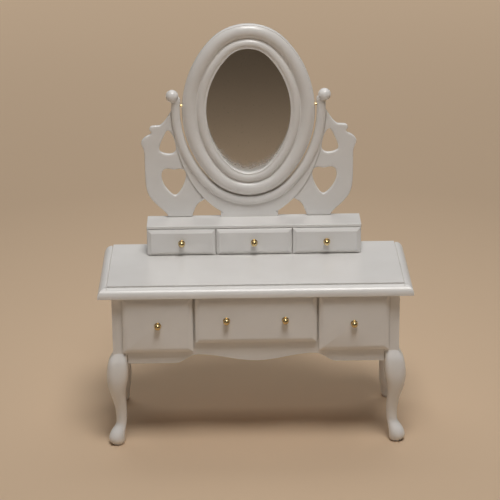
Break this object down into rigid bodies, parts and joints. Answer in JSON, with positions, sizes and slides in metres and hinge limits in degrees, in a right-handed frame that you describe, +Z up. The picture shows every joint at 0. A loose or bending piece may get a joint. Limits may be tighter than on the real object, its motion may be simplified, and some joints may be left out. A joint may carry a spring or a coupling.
{
  "type": "miniature dressing table",
  "caption": "Doll's-house dressing table with cabriole legs, scalloped apron, sliding drawers, a small drawer box on top and an oval mirror that tilts in a U-shaped cradle.",
  "frame": {"origin": "on the floor, in the middle of the object's outline seen from above", "axes": "+X to the object's right as its front is seen, +Y to the back, +Z up; the drawers open along -Y"},
  "size_m": [0.12, 0.0508, 0.1564],
  "materials": {
    "white_paint": "off-white satin paint over wood",
    "bare_wood": "bare pale wood",
    "brass": "polished brass",
    "silvered_glass": "slightly hazy mirror",
    "backing_card": "brown board behind the mirror"
  },
  "bodies": {
    "table": {"table_top": "white_paint", "left_side_panel": "white_paint", "right_side_panel": "white_paint", "back_panel": "white_paint", "front_frame": "white_paint", "left_divider": "bare_wood", "right_divider": "bare_wood", "left_drawer_floor": "bare_wood", "centre_drawer_floor": "bare_wood", "right_drawer_floor": "bare_wood", "front_left_leg": "white_paint", "front_right_leg": "white_paint", "back_left_leg": "white_paint", "back_right_leg": "white_paint", "box_top": "white_paint", "box_bottom": "white_paint", "box_left_side": "white_paint", "box_right_side": "white_paint", "box_back": "white_paint", "box_left_divider": "white_paint", "box_right_divider": "white_paint", "mirror_cradle": "white_paint", "left_bracket": "white_paint", "right_bracket": "white_paint"},
    "left_drawer": {"left_drawer_front": "white_paint", "left_drawer_sides": "bare_wood", "left_drawer_back": "bare_wood", "left_drawer_bottom": "bare_wood", "left_drawer_knob": "brass"},
    "centre_drawer": {"centre_drawer_front": "white_paint", "centre_drawer_sides": "bare_wood", "centre_drawer_back": "bare_wood", "centre_drawer_bottom": "bare_wood", "centre_drawer_knobs": "brass"},
    "right_drawer": {"right_drawer_front": "white_paint", "right_drawer_sides": "bare_wood", "right_drawer_back": "bare_wood", "right_drawer_bottom": "bare_wood", "right_drawer_knob": "brass"},
    "small_left_drawer": {"small_left_front": "white_paint", "small_left_sides": "bare_wood", "small_left_back": "bare_wood", "small_left_bottom": "bare_wood", "small_left_knob": "brass"},
    "small_centre_drawer": {"small_centre_front": "white_paint", "small_centre_sides": "bare_wood", "small_centre_back": "bare_wood", "small_centre_bottom": "bare_wood", "small_centre_knob": "brass"},
    "small_right_drawer": {"small_right_front": "white_paint", "small_right_sides": "bare_wood", "small_right_back": "bare_wood", "small_right_bottom": "bare_wood", "small_right_knob": "brass"},
    "mirror": {"mirror_frame": "white_paint", "mirror_glass": "silvered_glass", "mirror_backing": "backing_card", "mirror_pivot_pins": "brass"}
  },
  "joints": [
    {"name": "left_drawer_slide", "type": "slide", "parent": "table", "child": "left_drawer", "axis": [0, -1, 0], "range_m": [0, 0.028]},
    {"name": "centre_drawer_slide", "type": "slide", "parent": "table", "child": "centre_drawer", "axis": [0, -1, 0], "range_m": [0, 0.028]},
    {"name": "right_drawer_slide", "type": "slide", "parent": "table", "child": "right_drawer", "axis": [0, -1, 0], "range_m": [0, 0.028]},
    {"name": "small_left_drawer_slide", "type": "slide", "parent": "table", "child": "small_left_drawer", "axis": [0, -1, 0], "range_m": [0, 0.008]},
    {"name": "small_centre_drawer_slide", "type": "slide", "parent": "table", "child": "small_centre_drawer", "axis": [0, -1, 0], "range_m": [0, 0.008]},
    {"name": "small_right_drawer_slide", "type": "slide", "parent": "table", "child": "small_right_drawer", "axis": [0, -1, 0], "range_m": [0, 0.008]},
    {"name": "mirror_tilt", "type": "hinge", "parent": "table", "child": "mirror", "pos_m": [-0.0016, 0.0227, 0.1242], "axis": [1, 0, 0], "continuous": true}
  ]
}
